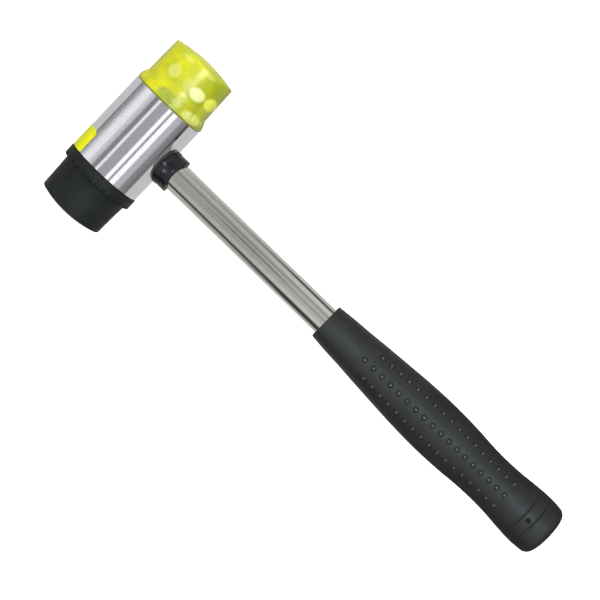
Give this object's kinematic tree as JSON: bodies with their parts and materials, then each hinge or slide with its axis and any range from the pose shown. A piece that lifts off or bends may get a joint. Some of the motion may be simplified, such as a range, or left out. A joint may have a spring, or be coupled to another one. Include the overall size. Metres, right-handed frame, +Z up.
{
  "type": "soft-face mallet",
  "caption": "Two-faced soft mallet: a metal head with a hard translucent face and a rubber face that unscrew, on a plated steel tube handle with a moulded rubber grip.",
  "frame": {"origin": "on the surface that the mallet lies on, under the middle of its outline", "axes": "+X along the handle from the head to the grip, +Y along the head from the black face to the yellow face, +Z up, away from the surface"},
  "size_m": [0.2622, 0.0884, 0.036],
  "materials": {
    "head_metal": "bright turned metal with a fine grain along the head",
    "yellow_plastic": "clear lemon-yellow hard plastic, gloss",
    "stud_steel": "zinc-plated steel",
    "black_rubber": "matte moulded rubber",
    "collar_plastic": "semi-gloss black plastic",
    "tube_chrome": "bright chrome plate",
    "plug_steel": "plain steel",
    "plug_plastic": "matte black plastic",
    "grip_rubber": "satin moulded rubber with raised dots",
    "label_film": "plain yellow film"
  },
  "bodies": {
    "mallet": {"head_body": "head_metal", "handle_collar": "collar_plastic", "handle_tube": "tube_chrome", "tube_wedge_plug": "plug_steel", "tube_end_plug": "plug_plastic", "grip": "grip_rubber", "head_label": "label_film"},
    "yellow_screw": {"yellow_face_stud": "stud_steel"},
    "yellow_tip": {"yellow_face": "yellow_plastic"},
    "black_screw": {"black_face_stud": "stud_steel"},
    "black_tip": {"black_face": "black_rubber"}
  },
  "joints": [
    {"name": "yellow_screw_out", "type": "slide", "parent": "mallet", "child": "yellow_screw", "axis": [0, 1, 0], "range_m": [0, 0.012]},
    {"name": "yellow_face_turn", "type": "hinge", "parent": "yellow_screw", "child": "yellow_tip", "pos_m": [-0.1131, 0.0279, 0.018], "axis": [0, 1, 0], "range_deg": [0, 2880]},
    {"name": "black_screw_out", "type": "slide", "parent": "mallet", "child": "black_screw", "axis": [0, -1, 0], "range_m": [0, 0.012]},
    {"name": "black_face_turn", "type": "hinge", "parent": "black_screw", "child": "black_tip", "pos_m": [-0.1131, -0.0285, 0.018], "axis": [0, -1, 0], "range_deg": [0, 2880]}
  ],
  "couplings": [
    {"joint": "yellow_screw_out", "follows": "yellow_face_turn", "m_per_rad": 0.00023873},
    {"joint": "black_screw_out", "follows": "black_face_turn", "m_per_rad": 0.00023873}
  ]
}
